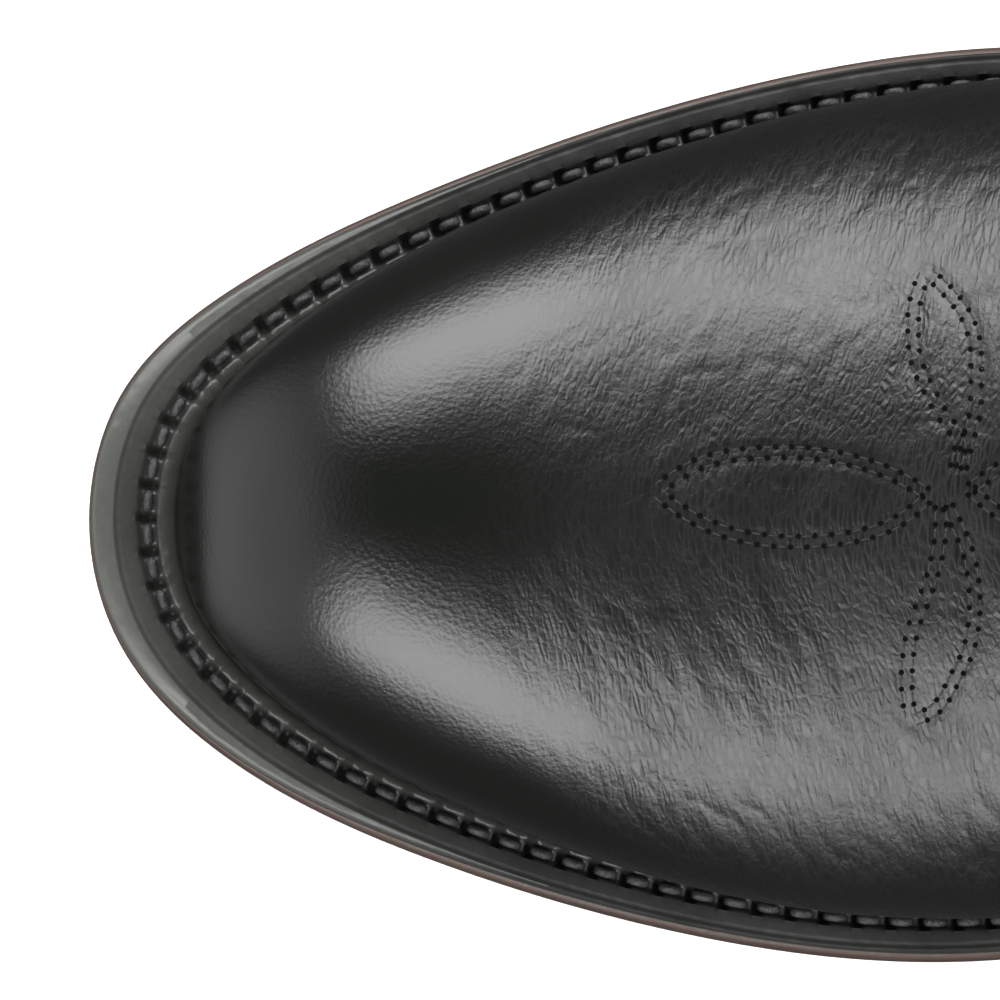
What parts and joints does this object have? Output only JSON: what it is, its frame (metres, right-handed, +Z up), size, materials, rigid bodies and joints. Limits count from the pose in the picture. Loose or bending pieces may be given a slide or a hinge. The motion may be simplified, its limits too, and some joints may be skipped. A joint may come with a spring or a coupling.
{
  "type": "cowboy boot",
  "caption": "Right-foot western boot with a round toe, stitched welt, stacked heel, scalloped shaft and two pull straps.",
  "frame": {"origin": "Middle of the heel cap's flat underside, on the floor.", "axes": "+Z up along the shaft, -Y to the toe, +X to the inner (medial) side of the foot."},
  "size_m": [0.1124, 0.3094, 0.3523],
  "materials": {
    "vamp_leather": "glossy black smooth leather, lightly creased",
    "shaft_leather": "glossy black smooth leather",
    "strap_leather": "black leather pull strap",
    "welt_leather": "black dressed welt leather",
    "thread": "waxed black thread",
    "sole_leather": "sole leather with a dark stained edge",
    "heel_leather": "stacked leather, black edge dressing",
    "heel_rubber": "moulded rubber",
    "steel": "plain steel",
    "lining_leather": "tan lining leather",
    "leatherboard": "stiff leatherboard",
    "cork": "cork composite filler"
  },
  "bodies": {
    "boot": {"vamp": "vamp_leather", "counter": "vamp_leather", "shaft_front": "shaft_leather", "shaft_back": "shaft_leather", "side_piping_medial": "shaft_leather", "side_piping_lateral": "shaft_leather", "top_binding": "shaft_leather", "strap_medial_outer": "strap_leather", "strap_medial_inner": "strap_leather", "strap_lateral_outer": "strap_leather", "strap_lateral_inner": "strap_leather", "welt": "welt_leather", "heel_rand": "welt_leather", "welt_thread": "thread", "outsole": "sole_leather", "heel_lift_1": "heel_leather", "heel_lift_2": "heel_leather", "heel_lift_3": "heel_leather", "heel_lift_4": "heel_leather", "heel_lift_5": "heel_leather", "heel_cap": "heel_rubber", "shank": "steel", "heel_nail_1": "steel", "heel_nail_2": "steel", "heel_nail_3": "steel", "heel_nail_4": "steel", "heel_nail_5": "steel", "vamp_lining": "lining_leather", "shaft_lining_front": "lining_leather", "shaft_lining_back": "lining_leather", "sock_liner": "lining_leather", "toe_box": "leatherboard", "heel_stiffener": "leatherboard", "insole": "leatherboard", "cork_filler": "cork"},
    "strap_medial": {"strap_medial_loop": "strap_leather"},
    "strap_lateral": {"strap_lateral_loop": "strap_leather"}
  },
  "joints": [
    {"name": "strap_medial_fold", "type": "hinge", "parent": "boot", "child": "strap_medial", "pos_m": [0.0439, -0.015, 0.3323], "axis": [0, 1, 0], "range_deg": [-80, 80], "stiffness_Nm_per_rad": 0.01},
    {"name": "strap_lateral_fold", "type": "hinge", "parent": "boot", "child": "strap_lateral", "pos_m": [-0.0439, -0.015, 0.3323], "axis": [0, -1, 0], "range_deg": [-80, 80], "stiffness_Nm_per_rad": 0.01}
  ]
}
